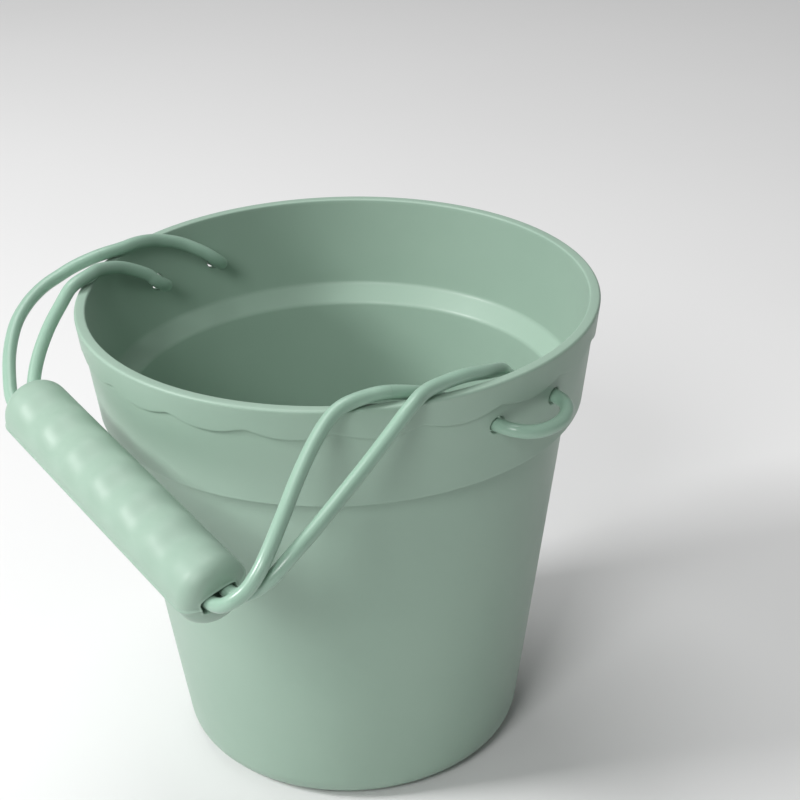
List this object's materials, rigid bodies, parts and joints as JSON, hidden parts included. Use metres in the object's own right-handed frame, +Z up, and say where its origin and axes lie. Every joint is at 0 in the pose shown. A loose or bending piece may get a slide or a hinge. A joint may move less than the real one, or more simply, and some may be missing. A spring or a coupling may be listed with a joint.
{
  "type": "sand bucket",
  "caption": "Round tapered silicone sand bucket with a wide stepped band, scalloped rim collar and a double cord bail with a grooved tubular grip.",
  "frame": {"origin": "centre of the bucket's flat underside", "axes": "+Z up along the bucket's axis, X along the line through both pairs of cord holes, the bail hangs in front on the -Y side"},
  "size_m": [0.1686, 0.183, 0.1495],
  "materials": {
    "bucket_silicone": "matte",
    "grip_silicone": "matte",
    "cord_silicone": "satin",
    "joiner_metal": "satin"
  },
  "bodies": {
    "bucket": {"bucket_shell": "bucket_silicone", "cord_loop_right": "cord_silicone", "cord_loop_left": "cord_silicone"},
    "cord_over_rim": {"inner_strand_front_right": "cord_silicone", "inner_strand_rear_right": "cord_silicone", "inner_strand_front_left": "cord_silicone", "inner_strand_rear_left": "cord_silicone"},
    "handle": {"outer_strand_front_right": "cord_silicone", "outer_strand_rear_right": "cord_silicone", "outer_strand_front_left": "cord_silicone", "outer_strand_rear_left": "cord_silicone", "grip_upper_half": "grip_silicone", "grip_lower_half": "grip_silicone", "cord_run_front": "cord_silicone", "cord_run_rear_right": "cord_silicone", "cord_run_rear_left": "cord_silicone", "cord_joiner": "joiner_metal"}
  },
  "joints": [
    {"name": "bail_lift", "type": "hinge", "parent": "bucket", "child": "cord_over_rim", "pos_m": [0, 0, 0.131], "axis": [-1, 0, 0], "range_deg": [0, 126], "deforming": ["cord_loop_right", "cord_loop_left", "inner_strand_front_right", "inner_strand_rear_right", "inner_strand_front_left", "inner_strand_rear_left"]},
    {"name": "bail_unbend", "type": "hinge", "parent": "cord_over_rim", "child": "handle", "pos_m": [0, -0.0405, 0.149], "axis": [-1, 0, 0], "range_deg": [0, 107], "deforming": ["outer_strand_front_right", "outer_strand_rear_right", "outer_strand_front_left", "outer_strand_rear_left"]}
  ],
  "couplings": [
    {"joint": "bail_unbend", "follows": "bail_lift", "ratio": 0.8485}
  ]
}
